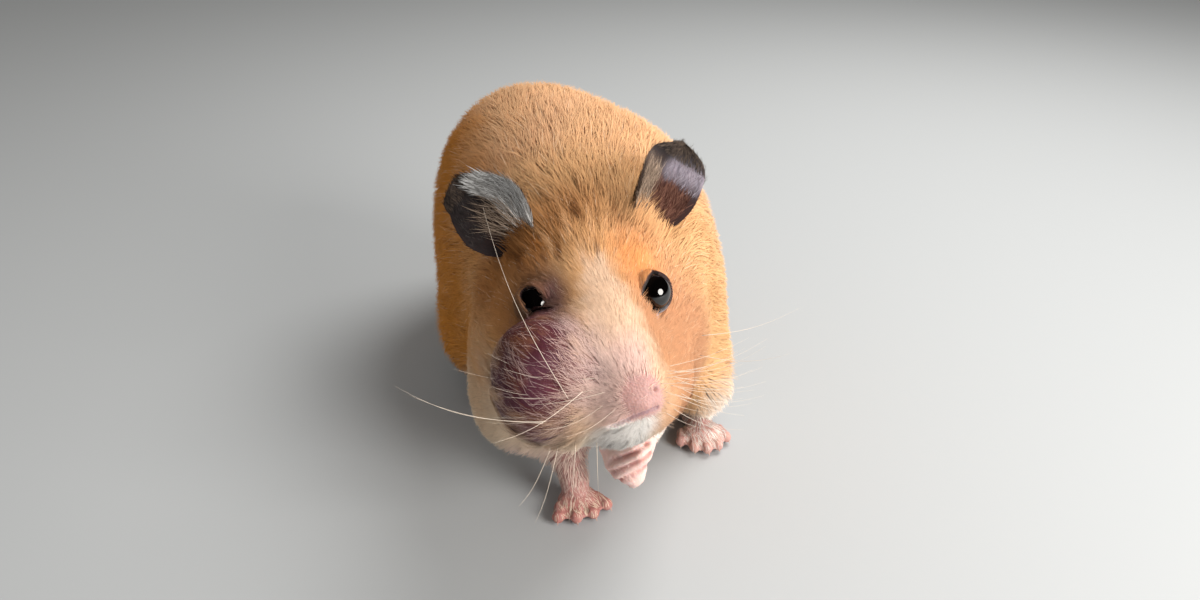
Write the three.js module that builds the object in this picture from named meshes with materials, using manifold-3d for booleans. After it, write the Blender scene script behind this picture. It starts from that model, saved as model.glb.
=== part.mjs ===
// A Syrian hamster, life size, standing with its left forepaw lifted and its head turned a little to its
// left. Its right cheek carries a large bare swelling, from under the eye down to the lip.
//
// Millimetres, +Z up. The nose points towards -Y and the animal's left side is +X. The soles and the coat
// under the hind belly rest at z = 0, and the origin is on the floor below the middle of the animal. The
// outline is the coat's, not the skin's.
//
// The flesh is one smooth form, blended from ellipsoids and tapered limbs, and parted by thin cuts into
// head, swelling, nose, neck, trunk, tail and legs. The ears, eyes and feet are made on their own.
import * as THREE from "three";
import { mergeVertices } from "three/addons/utils/BufferGeometryUtils.js";
import Module from "manifold-3d";

const wasm = await Module();
wasm.setup();

// ---- Driving dimensions ----
const EYE_LINE_HEIGHT = 43; // floor to the point midway between the eyes
const EYE_SPACING = 19.2; // between the middles of the eyes
const EYE_RADIUS = 3.2;
const HEAD_TURN = { yaw: 4, pitch: 8, roll: -2 }; // degrees: to its left, nose up, left side up
const BODY_WIDTH = 56; // across the coat at the belly
const BACK_HEIGHT = 62; // floor to the top of the back
const BELLY_CLEARANCE = 5; // floor to the belly's coat
const RUMP_Y = 87; // from below the eyes back to the rump
const EAR_LENGTH = 14;
const EAR_WIDTH = 15;
const EAR_THICKNESS = 1.2;
const SOLE_FLAT = 0.35; // how much of each sole is taken off where it meets the floor
const SEAT_FLAT = 0.6; // and off the coat under the hind belly
const LEG_END = 5; // height of the cut at wrist and ankle on a standing leg
const GAP = 0.3; // between neighbouring pieces
const BODY_CELL = 6.2; // the facets' size on the trunk
const HEAD_CELL = 3.6; // on the head
const LEG_CELL = 4.1; // and on the legs

const HALF_WIDTH = BODY_WIDTH / 2;
const HALF_HEIGHT = (BACK_HEIGHT - BELLY_CLEARANCE) / 2;
const MID_Z = BELLY_CLEARANCE + HALF_HEIGHT;
const HUGE = 200; // past every surface

const v = (x, y, z) => new THREE.Vector3(x, y, z);
const wide = (size) => v(size, size, size);
const radians = THREE.MathUtils.degToRad;
const world = new THREE.Matrix4();

// A frame at a place, turned by degrees about x, y and z.
function frameAt(place, x = 0, y = 0, z = 0, order = "ZYX") {
  const turn = new THREE.Euler(radians(x), radians(y), radians(z), order);
  return new THREE.Matrix4().makeRotationFromEuler(turn).setPosition(place);
}

// A frame at a place, with its z along one direction and its y as near as can be to another.
function frameAlong(place, zAxis, yNear) {
  const z = zAxis.clone().normalize();
  const x = yNear.clone().cross(z).normalize();
  return new THREE.Matrix4().makeBasis(x, z.clone().cross(x), z).setPosition(place);
}

// The head's own frame: its origin midway between the eyes, x to its left, y back, z up from the face.
const headFrame = frameAt(wide(0), -HEAD_TURN.pitch, -HEAD_TURN.roll, HEAD_TURN.yaw, "ZXY");
headFrame.setPosition(0, 0, EYE_LINE_HEIGHT);
const toHead = headFrame.clone().invert();

// ---- The flesh as a field: the distance to the coat in millimetres, negative inside ----

function ellipsoid(centre, radii) {
  return (p) => {
    const x = (p.x - centre.x) / radii.x;
    const y = (p.y - centre.y) / radii.y;
    const z = (p.z - centre.z) / radii.z;
    const far = Math.hypot(x, y, z);
    const slope = Math.hypot(x / radii.x, y / radii.y, z / radii.z);
    return slope > 0 ? (far * (far - 1)) / slope : -Math.min(radii.x, radii.y, radii.z);
  };
}

// A limb through its joints, each [place, radius], round and tapered.
function limb(...joints) {
  const bones = joints.slice(1).map(([end, endRadius], i) => {
    const [start, startRadius] = joints[i];
    return { start, startRadius, endRadius, along: end.clone().sub(start) };
  });
  const q = v(0, 0, 0);
  return (p) => {
    let nearest = HUGE;
    for (const { start, startRadius, endRadius, along } of bones) {
      const t = THREE.MathUtils.clamp(q.copy(p).sub(start).dot(along) / along.lengthSq(), 0, 1);
      const radius = THREE.MathUtils.lerp(startRadius, endRadius, t);
      nearest = Math.min(nearest, q.copy(start).addScaledVector(along, t).distanceTo(p) - radius);
    }
    return nearest;
  };
}

// Joins forms into one, rounding each meeting over its blend width.
function blended(forms) {
  return (p) => {
    let d = HUGE;
    for (const { form, blend } of forms) {
      const other = form(p);
      const overlap = Math.max(blend - Math.abs(d - other), 0) / blend;
      d = Math.min(d, other) - (overlap * overlap * blend) / 4;
    }
    return d;
  };
}

// Takes a form out of another, rounding the brim over the blend width.
function hollowed(form, hollow, blend) {
  return (p) => {
    const [kept, cut] = [form(p), -hollow(p)];
    const overlap = Math.max(blend - Math.abs(kept - cut), 0) / blend;
    return Math.max(kept, cut) + (overlap * overlap * blend) / 4;
  };
}

const both = (make) => [make(1), make(-1)]; // the animal's left, then its right

// -- Head, in its own frame. The swelling pushes the muzzle over to the animal's left --
const EYES = { left: v(EYE_SPACING / 2, 0.6, 0), right: v(-EYE_SPACING / 2, 0.6, 0) };
const NOSE = v(3, -19.8, -7.4);

const headForms = [
  { form: ellipsoid(v(0, 12, -2.2), v(15, 13.5, 12.2)), blend: 4 }, // braincase and crown
  { form: ellipsoid(v(0, -1, -4.6), v(8.8, 13, 8.4)), blend: 5 }, // brow and bridge
  { form: ellipsoid(v(2, -11.5, -8.4), v(6.4, 9.6, 6)), blend: 5 }, // muzzle
  { form: ellipsoid(v(1.6, -6, -16), v(8.6, 11, 6)), blend: 5 }, // jaw and chin
  // lips
  ...both((side) => ({ form: ellipsoid(v(2.6 + side * 3.8, -15, -11.4), v(4.2, 5, 4.4)), blend: 3 })),
  ...both((side) => ({ form: ellipsoid(v(side * 11.3, 9, -10.5), v(9.2, 12, 10)), blend: 5 })), // cheeks
  { form: ellipsoid(v(10, -3, -13), v(6.6, 9.5, 6.8)), blend: 4 }, // left cheek pouch
  { form: ellipsoid(NOSE, v(2.8, 2.6, 2.6)), blend: 2 },
  { form: ellipsoid(v(-9.8, -9.6, -8.4), v(8.8, 8.7, 11.4)), blend: 2.5 }, // swelling
];
const eyeHollow = (side) => ellipsoid(v(side * 14.6, -1, 0.8), v(5.2, 6, 5.4));
const headForm = both(eyeHollow).reduce((form, hollow) => hollowed(form, hollow, 3), blended(headForms));

// -- Body --
const bodyForms = [
  { form: ellipsoid(v(1, 18, 31), v(19.5, 16, 18)), blend: 10 }, // neck
  { form: ellipsoid(v(-1.5, 14, 21), v(17.5, 15, 15)), blend: 8 }, // chest
  { form: ellipsoid(v(3.4, 32, MID_Z - 2.4), v(24, 24, 25)), blend: 10 }, // ribs
  { form: ellipsoid(v(3.2, 48, MID_Z - 1.2), v(HALF_WIDTH, 27, HALF_HEIGHT - 1.2)), blend: 10 }, // belly
  { form: ellipsoid(v(-5.6, RUMP_Y - 24, MID_Z - 0.5), v(21.5, 24, 27)), blend: 10 }, // rump
  { form: ellipsoid(v(-3, 61, 18), v(15, 19, 18 + SEAT_FLAT)), blend: 8 }, // hind belly, on the floor
  { form: ellipsoid(v(14, 15, 24), v(9, 12, 11)), blend: 8 }, // left shoulder
  { form: ellipsoid(v(-14.5, 11, 16), v(8.5, 11, 10.5)), blend: 8 }, // right shoulder and elbow
  { form: ellipsoid(v(22.6, 38, 20), v(10, 22, 14.5)), blend: 8 }, // left haunch
  { form: ellipsoid(v(-16, 50, 20), v(10, 22, 15)), blend: 8 }, // right haunch
];

// -- Legs, from shoulder or hip down to wrist or heel --
const WRIST = { right: v(-3.9, 0, 6), left: v(7.4, -3.8, 14.6) };
const HEEL = { right: v(-17.5, 43.5, 5), left: v(23.6, 24.6, 5) };
const legForms = {
  foreleg_right: limb([v(-10, 12, 20), 6.5], [v(-6.5, 5, 14), 4.6], [WRIST.right, 3]),
  foreleg_left: limb([v(13, 10, 22), 6.5], [v(12, 3.5, 18), 4.6], [WRIST.left, 3]),
  hindleg_right: limb([v(-18, 47, 18), 9], [v(-19, 37, 12), 6], [HEEL.right, 3.8]),
  hindleg_left: limb([v(22, 32, 18), 9], [v(25.2, 18, 11), 6.2], [HEEL.left, 4.4]),
};
const TAIL = { root: v(-6.5, RUMP_Y - 3, 22), tip: v(-8, RUMP_Y + 8, 19) };
const tailForm = limb([TAIL.root, 3.4], [TAIL.tip, 1.6]);

const bodyForm = blended([
  ...bodyForms,
  ...Object.values(legForms).map((form) => ({ form, blend: 4 })),
  { form: tailForm, blend: 3 },
]);
const inHead = v(0, 0, 0);
const flesh = blended([
  { form: bodyForm, blend: 1 },
  { form: (p) => headForm(inHead.copy(p).applyMatrix4(toHead)), blend: 6 },
]);

// ---- From a field to a closed surface ----

// Moves a point that lies near a field's surface onto it, down the slope.
function settle(field, p) {
  const reach = 0.05;
  for (let pass = 0; pass < 2; pass++) {
    const here = field(p);
    const slope = [v(reach, 0, 0), v(0, reach, 0), v(0, 0, reach)].map(
      (off) => (field(off.clone().add(p)) - field(off.negate().add(p))) / (2 * reach),
    );
    const steep = slope[0] ** 2 + slope[1] ** 2 + slope[2] ** 2;
    p.addScaledVector(v(...slope), -here / Math.max(steep, 0.2));
  }
}

// Surface nets: one vertex in each cell that the surface crosses, and one quad round each grid edge that it
// crosses.
function surfaceOf(field, low, high, cell) {
  const size = ["x", "y", "z"].map((axis) => Math.ceil((high[axis] - low[axis]) / cell) + 1);
  const step = [1, size[0], size[0] * size[1]];
  const samples = new Float32Array(step[2] * size[2]);
  const p = v(0, 0, 0);
  const eachPoint = (visit) => {
    for (let n = 0; n < samples.length; n++) {
      visit([n % size[0], Math.floor(n / step[1]) % size[1], Math.floor(n / step[2])], n);
    }
  };
  // The outermost samples count as outside, so the surface closes at the box.
  eachPoint((at, n) => {
    const edge = at.some((c, axis) => c === 0 || c === size[axis] - 1);
    samples[n] = edge ? cell : field(p.set(at[0], at[1], at[2]).multiplyScalar(cell).add(low));
  });
  const corners = [...Array(8).keys()].map((c) => [c & 1, (c >> 1) & 1, (c >> 2) & 1]);
  const edges = corners.flatMap((a, i) => [1, 2, 4].filter((bit) => !(i & bit)).map((bit) => [i, i | bit]));
  const vertexOf = new Int32Array(samples.length).fill(-1);
  const vertices = [];
  eachPoint((at, n) => {
    if (at.some((c, axis) => c === size[axis] - 1)) return;
    const value = corners.map((c) => samples[n + c[0] + c[1] * step[1] + c[2] * step[2]]);
    const crossed = edges.filter(([a, b]) => value[a] < 0 !== value[b] < 0);
    if (!crossed.length) return;
    p.set(0, 0, 0);
    for (const [a, b] of crossed) {
      const t = value[a] / (value[a] - value[b]);
      p.add(v(...corners[a]).lerp(v(...corners[b]), t));
    }
    vertexOf[n] = vertices.length;
    vertices.push({
      at: p.divideScalar(crossed.length).add(v(...at)).multiplyScalar(cell).add(low).clone(),
      free: at.every((c, axis) => c > 0 && c < size[axis] - 2), // not on the closed sides of the box
      next: new Set(),
    });
  });
  const quads = [];
  eachPoint((at, n) => {
    for (let axis = 0; axis < 3; axis++) {
      const [b, c] = [(axis + 1) % 3, (axis + 2) % 3];
      if (at[axis] === size[axis] - 1 || at[b] === 0 || at[c] === 0) continue;
      const inside = samples[n] < 0;
      if (inside === samples[n + step[axis]] < 0) continue;
      const round = [n, n - step[b], n - step[b] - step[c], n - step[c]].map((m) => vertexOf[m]);
      if (!inside) round.reverse();
      quads.push(round);
      round.forEach((vertex, i) => vertices[vertex].next.add(round[(i + 1) % 4]).add(round[(i + 3) % 4]));
    }
  });
  // Evens out the facets: each vertex moves amidst its neighbours, then back onto the surface.
  for (let pass = 0; pass < 4; pass++) {
    const amidst = vertices.map(({ next }) => {
      const sum = v(0, 0, 0);
      next.forEach((other) => sum.add(vertices[other].at));
      return sum.divideScalar(next.size);
    });
    vertices.forEach(({ at, free }, i) => free && settle(field, at.copy(amidst[i])));
  }
  // Each quad becomes two triangles, split along its shorter diagonal.
  const apart = (a, b) => vertices[a].at.distanceTo(vertices[b].at);
  const faces = quads.flatMap(([a, b, c, d]) =>
    apart(a, c) < apart(b, d) ? [a, b, c, a, c, d] : [b, c, d, b, d, a],
  );
  const geometry = new THREE.BufferGeometry();
  const positions = vertices.flatMap(({ at }) => at.toArray());
  geometry.setAttribute("position", new THREE.Float32BufferAttribute(positions, 3));
  geometry.setIndex(faces);
  return geometry;
}

// ---- Solids: joining and cutting ----

function solid(geometry, matrix) {
  const bare = geometry.clone();
  bare.deleteAttribute("normal");
  bare.deleteAttribute("uv");
  if (matrix) bare.applyMatrix4(matrix);
  const merged = mergeVertices(bare, 1e-4);
  const { array } = merged.attributes.position;
  const triVerts = new Uint32Array(merged.index.array);
  return new wasm.Manifold(new wasm.Mesh({ numProp: 3, vertProperties: new Float32Array(array), triVerts }));
}

const WELD = 0.002; // corners nearer than this become one, and facets that this empties are left out

function geometryOf(made) {
  const { numProp, vertProperties, triVerts, numVert } = made.getMesh();
  const positions = new Float32Array(numVert * 3);
  for (let i = 0; i < numVert; i++) {
    positions.set(vertProperties.subarray(i * numProp, i * numProp + 3), i * 3);
  }
  const geometry = new THREE.BufferGeometry();
  geometry.setAttribute("position", new THREE.BufferAttribute(positions, 3));
  geometry.setIndex(new THREE.BufferAttribute(new Uint32Array(triVerts), 1));
  const welded = mergeVertices(geometry, WELD);
  const corners = [...welded.index.array];
  const kept = [];
  for (let i = 0; i < corners.length; i += 3) {
    const [a, b, c] = corners.slice(i, i + 3);
    if (a !== b && b !== c && c !== a) kept.push(a, b, c);
  }
  welded.setIndex(kept);
  return welded;
}

const largestPiece = (made) => made.decompose().sort((a, b) => b.volume() - a.volume())[0];

// A box between two corners of a frame.
function boxIn(frame, low, high) {
  const size = high.clone().sub(low);
  const box = new THREE.BoxGeometry(size.x, size.y, size.z);
  return solid(box.translate(low.x + size.x / 2, low.y + size.y / 2, low.z + size.z / 2), frame);
}

function ball(frame, centre, radii, grown = 0, around = 20, rings = 14) {
  const size = radii.clone().addScalar(grown);
  const sphere = new THREE.SphereGeometry(1, around, rings).scale(size.x, size.y, size.z);
  return solid(sphere.translate(centre.x, centre.y, centre.z), frame);
}

// Parts a solid in two: what lies in the cutter, and what lies clear of it by the gap.
// cutter(grown) makes the cutting solid, larger all round by grown.
function parted(whole, cutter) {
  return [largestPiece(whole.intersect(cutter(0))), largestPiece(whole.subtract(cutter(GAP)))];
}

// ---- Head and body, parted by thin cuts ----
const parts = {};

// Everything in front of a plane across the head's frame, down to below the chin.
const CHIN_Z = -23.5;
const inFront = (plane) => (grown) =>
  boxIn(headFrame, v(-HUGE, -HUGE, CHIN_Z - grown), v(HUGE, plane + grown, HUGE));
const HEAD_END = 19;
const NECK_END = 27;

const headFlesh = surfaceOf(flesh, v(-26, -32, 12), v(28, 28, 60), HEAD_CELL);
const bodyFlesh = surfaceOf(flesh, v(-36, -14, -14), v(38, 104, 74), BODY_CELL);
let [head] = parted(solid(headFlesh), inFront(HEAD_END));
let trunk = largestPiece(solid(bodyFlesh).subtract(inFront(HEAD_END)(GAP)));
[parts.neck, trunk] = parted(trunk, inFront(NECK_END));

for (const [side, at] of Object.entries(EYES)) {
  parts["eye_" + side] = ball(headFrame, at, wide(EYE_RADIUS), 0, 12, 7);
  head = head.subtract(ball(headFrame, at, wide(EYE_RADIUS), GAP, 12, 7));
}
const noseBall = (grown) => ball(headFrame, NOSE.clone().add(v(0, -0.8, 0.1)), v(3, 2.6, 2.8), grown, 10, 7);
const swellingBall = (grown) => ball(headFrame, v(-13.4, -11.4, -8.6), v(9.8, 9, 11.2), grown, 16, 10);
[parts.nose, head] = parted(head, noseBall);
[parts.swelling, head] = parted(head, swellingBall);

// ---- Ears: an oval sheet, rolled to a funnel at its foot and opening out towards its rim ----
const EAR_ROLL = { foot: 3.2, rim: 9 }; // radius of the roll
const EAR_SINK = 3; // how deep the foot stands in the head
const ears = {
  left: frameAlong(v(13, 15, 8.5), v(8.2, 2, 10.3), v(0.3, -0.95, 0)),
  right: frameAlong(v(-11, 14.6, 6.4), v(-9, 3.5, 7.6), v(-0.3, -0.95, 0)),
};
function ear(frame, grown) {
  const sphere = new THREE.SphereGeometry(1, 14, 8).rotateX(Math.PI / 2);
  const { position } = sphere.attributes;
  const p = v(0, 0, 0);
  for (let i = 0; i < position.count; i++) {
    p.fromBufferAttribute(position, i);
    const up = (p.z + 1) / 2;
    const roll = THREE.MathUtils.lerp(EAR_ROLL.foot, EAR_ROLL.rim, Math.sqrt(up));
    const across = p.x * (EAR_WIDTH / 2 + grown) * THREE.MathUtils.lerp(0.8, 1.06, up);
    const radius = roll - p.y * (EAR_THICKNESS / 2 + grown);
    const turn = across / roll;
    const back = 0.1 * EAR_LENGTH * up * up; // the rim hangs back a little
    const along = up * (EAR_LENGTH + EAR_SINK) - EAR_SINK + (2 * up - 1) * grown;
    position.setXYZ(i, radius * Math.sin(turn), roll - radius * Math.cos(turn) - back, along);
  }
  return solid(sphere, frame);
}
for (const [side, place] of Object.entries(ears)) {
  const frame = headFrame.clone().multiply(place);
  parts["ear_" + side] = ear(frame, 0);
  head = head.subtract(ear(frame, GAP));
  parts.neck = parts.neck.subtract(ear(frame, GAP));
}
parts.head = largestPiece(head);

// ---- Legs and tail, cut from the body ----
const limbs = {
  foreleg_right: { at: v(-5.5, 2, 9), r: v(6.5, 8.5, 11), cell: 2.6 },
  foreleg_left: { at: v(10.5, -1, 16), r: v(7, 8, 8.5), cell: 3.6 },
  hindleg_right: { at: v(-24.5, 44, 14), r: v(13, 22, 20) },
  hindleg_left: { at: v(27.5, 31, 14), r: v(13, 22, 20) },
  tail: { at: TAIL.root.clone().lerp(TAIL.tip, 0.8), r: v(6, 8, 6), cell: 2.2 },
};
const aroundHead = inFront(HEAD_END)(GAP);
for (const [name, { at, r, cell = LEG_CELL }] of Object.entries(limbs)) {
  const margin = 2 * cell; // keeps the closed sides of the box clear of the limb
  const [low, high] = [at.clone().sub(r).subScalar(margin), at.clone().add(r).addScalar(margin)];
  const fine = surfaceOf(flesh, low, high, cell);
  const cutter = (grown) => ball(world, at, r, grown, 14, 9);
  parts[name] = largestPiece(solid(fine).intersect(cutter(0)).subtract(aroundHead));
  trunk = trunk.subtract(cutter(GAP));
  parts.neck = parts.neck.subtract(cutter(GAP));
}
parts.neck = largestPiece(parts.neck);
parts.trunk = largestPiece(trunk.intersect(boxIn(world, v(-HUGE, -HUGE, 0), wide(HUGE))));

// ---- Feet ----
// A toe from its root along +Y: lean, with a round pad under its end, drooping to a small claw.
function toe(length, radius, droop) {
  const outline = [
    [0, -0.6],
    [0.95, -0.3],
    [0.9, 0.45],
    [1.05, 0.76],
    [0.7, 1],
    [0.24, 1.06],
    [0, 1.32],
  ].map(([r, along]) => new THREE.Vector2(r * radius, along * length));
  const lathe = new THREE.LatheGeometry(outline, 6).rotateY(radians(30));
  const { position } = lathe.attributes;
  for (let i = 0; i < position.count; i++) {
    const along = Math.max(position.getY(i), 0) / length;
    position.setZ(i, position.getZ(i) + droop * (0.7 * along - along * along));
  }
  return lathe;
}

// A paw in its own frame: the wrist or heel above the origin, toes towards -Y, the sole down.
function paw({ pads, toes, frame, planted }) {
  let made = pads.map(({ at, r }) => ball(world, at, r, 0, 9, 6)).reduce((a, b) => a.add(b));
  for (const { root, spread, length, radius, droop } of toes) {
    made = made.add(solid(toe(length, radius, droop), frameAt(root, 0, 0, 180 + spread)));
  }
  if (planted) {
    made = made.intersect(boxIn(world, v(-HUGE, -HUGE, SOLE_FLAT), v(HUGE, HUGE, LEG_END + SOLE_FLAT)));
  }
  return largestPiece(made.transform(frame.elements));
}

// One toe at each of count places from side -1 to side 1.
const fan = (count, make) => [...Array(count).keys()].map((i) => make((2 * i) / (count - 1) - 1));

// Four toes on the forefoot, fanned out by spread degrees. curl folds them down under a lifted paw.
const forefoot = (spread, curl) => ({
  pads: [
    { at: v(0, -1.7, 2.1), r: v(4, 3.4, 2) }, // palm
    { at: v(0, 0, 5), r: v(2.9, 2.6, 4.6) }, // wrist
  ],
  toes: fan(4, (side) => ({
    root: v(side * 3.8, -3.5 + 0.9 * side * side, 1.8),
    spread: spread * side,
    length: (3.2 - 0.3 * side * side) * (1 - 0.1 * curl),
    radius: 1.3,
    droop: 0.6 + curl,
  })),
});

// Five toes on the hind foot, the middle three long, on a long narrow sole.
const hindfoot = {
  pads: [
    { at: v(0, 0, 3), r: v(2.8, 3.2, 3.6) }, // heel
    { at: v(0, -5.5, 2.6), r: v(3.1, 8, 3) }, // sole
    { at: v(0, -11, 2.3), r: v(4.2, 3.6, 2.2) }, // ball
  ],
  toes: fan(5, (side) => ({
    root: v(side * 4, -12.8 + 2.2 * side * side, 1.9),
    spread: 17 * side,
    length: 3.6 - 0.6 * side * side,
    radius: 1.25,
    droop: 0.6,
  })),
};

const onFloor = (place, turn) => frameAt(v(place.x, place.y, -SOLE_FLAT), 0, 0, turn);
const lifted = frameAlong(WRIST.left, v(-0.1, -0.76, 0.64), v(0.8, 0.34, 0.5)); // its back up and forward
const feet = {
  forefoot_right: { ...forefoot(24, 0), frame: onFloor(WRIST.right, 12), planted: true },
  forefoot_left: { ...forefoot(2, 2.4), frame: lifted.multiply(frameAt(v(0, -1, -2.5))), planted: false },
  hindfoot_right: { ...hindfoot, frame: onFloor(HEEL.right, 4), planted: true },
  hindfoot_left: { ...hindfoot, frame: onFloor(HEEL.left, 0), planted: true },
};
// The same foot with its pads larger all round by the gap.
const padded = (foot) => {
  const pads = foot.pads.map(({ at, r }) => ({ at, r: r.clone().addScalar(GAP) }));
  return { ...foot, pads };
};
const aboveAnkle = boxIn(world, v(-HUGE, -HUGE, LEG_END + GAP), wide(HUGE));
for (const [name, foot] of Object.entries(feet)) {
  const leg = name.replace("foot", "leg");
  parts[name] = paw(foot);
  parts[leg] = foot.planted ? parts[leg].intersect(aboveAnkle) : parts[leg].subtract(paw(padded(foot)));
  parts[leg] = largestPiece(parts[leg]);
}

// ---- The animal, with the origin on the floor below its middle ----
const FINISH = {
  coat: { color: 0xd9924e, roughness: 0.85 },
  bare: { color: 0x8a5f66, roughness: 0.7 },
  ear: { color: 0x4a4446, roughness: 0.75 },
  skin: { color: 0xdba29a, roughness: 0.6 },
  eye: { color: 0x07070a, roughness: 0.05 },
};
const finishOf = (name) => {
  if (name.startsWith("eye")) return FINISH.eye;
  if (name.startsWith("ear")) return FINISH.ear;
  if (name === "swelling") return FINISH.bare;
  if (/foot|tail|nose/.test(name)) return FINISH.skin;
  return FINISH.coat;
};
const hamster = new THREE.Group();
for (const [name, made] of Object.entries(parts)) {
  const finish = new THREE.MeshStandardMaterial({ metalness: 0, ...finishOf(name) });
  const mesh = new THREE.Mesh(geometryOf(made), finish);
  mesh.name = name;
  hamster.add(mesh);
}
const extent = new THREE.Box3().setFromObject(hamster);
const middle = extent.getCenter(v(0, 0, 0));
hamster.position.set(-middle.x, -middle.y, -extent.min.z);

export default hamster;
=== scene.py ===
import math

import bmesh
import bpy
import numpy as np
from mathutils import Matrix, Vector
from mathutils.bvhtree import BVHTree
from mathutils.kdtree import KDTree


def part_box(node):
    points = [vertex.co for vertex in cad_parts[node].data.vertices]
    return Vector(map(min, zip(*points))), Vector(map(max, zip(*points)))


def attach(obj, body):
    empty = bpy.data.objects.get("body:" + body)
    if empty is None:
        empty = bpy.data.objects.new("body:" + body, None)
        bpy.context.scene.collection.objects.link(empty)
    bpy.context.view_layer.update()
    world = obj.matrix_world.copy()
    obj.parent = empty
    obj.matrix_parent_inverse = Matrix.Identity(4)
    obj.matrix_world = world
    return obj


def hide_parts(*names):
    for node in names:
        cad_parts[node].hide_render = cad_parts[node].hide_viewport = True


# ---- Frame ----
# The solids reach out to the tips of the coat. Everything is measured from them, in millimetres from the
# point on the floor below the middle of the eyes: x to the animal's left, y back to the rump, z up.
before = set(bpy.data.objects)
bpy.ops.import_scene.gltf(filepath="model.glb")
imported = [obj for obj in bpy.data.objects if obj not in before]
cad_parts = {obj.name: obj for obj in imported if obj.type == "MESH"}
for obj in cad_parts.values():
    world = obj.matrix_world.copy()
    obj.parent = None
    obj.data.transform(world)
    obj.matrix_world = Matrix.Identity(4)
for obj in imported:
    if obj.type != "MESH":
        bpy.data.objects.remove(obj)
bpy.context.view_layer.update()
MM = 0.001
SEED = 5
HEAD_TURN = (("Z", 4), ("X", -8), ("Y", 2))  # degrees: to its left, nose up, left side up
EYES_BACK = 0.6  # the eyes lie this far behind the head's own origin


def centre(node):
    low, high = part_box(node)
    return (np.array(low) + np.array(high)) / 2


def linked(name, data):
    """A new object at the origin, in the scene."""
    made = bpy.data.objects.new(name, data)
    bpy.context.collection.objects.link(made)
    return made


HEAD_AXES = np.eye(3)
for axis, degrees in HEAD_TURN:
    HEAD_AXES = HEAD_AXES @ np.array(Matrix.Rotation(math.radians(degrees), 3, axis))
between_eyes = (centre("eye_left") + centre("eye_right")) / 2 - HEAD_AXES[:, 1] * EYES_BACK * MM
BELOW_EYES = between_eyes * (1, 1, 0)
HEAD_AT = (between_eyes - BELOW_EYES) / MM


def to_row(points):
    return points * MM + BELOW_EYES


def from_row(points):
    return (points - BELOW_EYES) / MM


# The head's own frame: x to its left, y back, z up from the face.
def to_head(points):
    return (points - HEAD_AT) @ HEAD_AXES


def from_head(points):
    return np.asarray(points, float) @ HEAD_AXES.T + HEAD_AT


# ---- Skin ----
# One seamless skin, thin and loose over the body. It is cast from the solids of the flesh, joined across
# their cuts, smoothed, and drawn in by the depth of the coat that stands on it.
SIDES = ("left", "right")
LIMBS = ("foreleg", "forefoot", "hindleg", "hindfoot")
FLESH = ["head", "neck", "trunk", "swelling", "nose", "tail"]
FLESH += [part + "_" + side for part in LIMBS for side in SIDES]
FEET = [name for name in FLESH if "foot" in name]
BRIDGE_CUTS = 0.22  # how far each solid swells to meet its neighbour
VOXEL = 0.8
BODY_COAT = 4.2  # depth of the coat on the back
# the lifted paw's closed palm, between its fingers
FIST = (4.6, -5.6, 13.2)
FIST_REACH = (3.9, 3.6, 4.4)


def welded(*nodes):
    solid = bmesh.new()
    for node in nodes:
        solid.from_mesh(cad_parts[node].data)
    bmesh.ops.remove_doubles(solid, verts=solid.verts, dist=1e-6)
    solid.normal_update()
    return solid


def surface_of(*nodes):
    solid = welded(*nodes)
    tree = BVHTree.FromBMesh(solid)
    solid.free()
    return tree


def nearest(tree, points, reach=1e9):
    """The nearest point and normal on a surface for each point, in the same units as the tree's."""
    found = np.zeros((len(points), 7))
    for i, point in enumerate(points.tolist()):
        at, normal, _, distance = tree.find_nearest(point, reach)
        if at is None:
            found[i, 6] = reach
        else:
            found[i] = (*at, *normal, distance)
    return found[:, :3], found[:, 3:6], found[:, 6]


ALL_FEET = surface_of(*FEET)
TAIL = surface_of("tail")
SWELLING = surface_of("swelling")
FORELEG = surface_of("foreleg_right")


def distance_to(tree, points, reach=60):
    return nearest(tree, to_row(points), reach * MM)[2] / MM


cast = bmesh.new()
for node in FLESH + ["eye_left", "eye_right"]:
    solid = welded(node)
    for vert in solid.verts:
        vert.co += vert.normal * BRIDGE_CUTS * MM
    lump = bpy.data.meshes.new("lump")
    solid.to_mesh(lump)
    solid.free()
    cast.from_mesh(lump)
fist = bmesh.ops.create_icosphere(cast, subdivisions=3, radius=1)["verts"]
for vert in fist:
    vert.co = Vector(to_row(np.array(FIST) + np.array(vert.co) * FIST_REACH))
cast_mesh = bpy.data.meshes.new("cast")
cast.to_mesh(cast_mesh)
cast.free()
cast_object = linked("cast", cast_mesh)
remesh = cast_object.modifiers.new("one skin", "REMESH")
remesh.mode = "VOXEL"
remesh.voxel_size = VOXEL * MM
evaluated = cast_object.evaluated_get(bpy.context.evaluated_depsgraph_get())
skin_mesh = bpy.data.meshes.new_from_object(evaluated)
bpy.data.objects.remove(cast_object)


def table(items, name, width, kind):
    """One row of numbers for each item of a mesh."""
    flat = np.empty(len(items) * width, kind)
    items.foreach_get(name, flat)
    return flat.reshape(-1, width)


def skin_corners():
    return from_row(table(skin_mesh.vertices, "co", 3, float))


def skin_normals():
    return table(skin_mesh.vertex_normals, "vector", 3, np.float32).astype(float)


def move_skin(points):
    skin_mesh.vertices.foreach_set("co", to_row(points).ravel())
    skin_mesh.update()


def relaxed(points, share, rounds):
    """Moves each point of the skin by its share of the way to the middle of its neighbours, in rounds."""
    edges = table(skin_mesh.edges, "vertices", 2, np.int32)
    start = np.concatenate([edges[:, 0], edges[:, 1]])
    end = np.concatenate([edges[:, 1], edges[:, 0]])
    count = np.bincount(start, minlength=len(points))[:, None]
    share = np.broadcast_to(share, len(points))[:, None]
    for _ in range(rounds):
        total = [np.bincount(start, points[end, axis], len(points)) for axis in range(3)]
        points = points + share * (np.stack(total, 1) / count - points)
    return points


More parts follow.
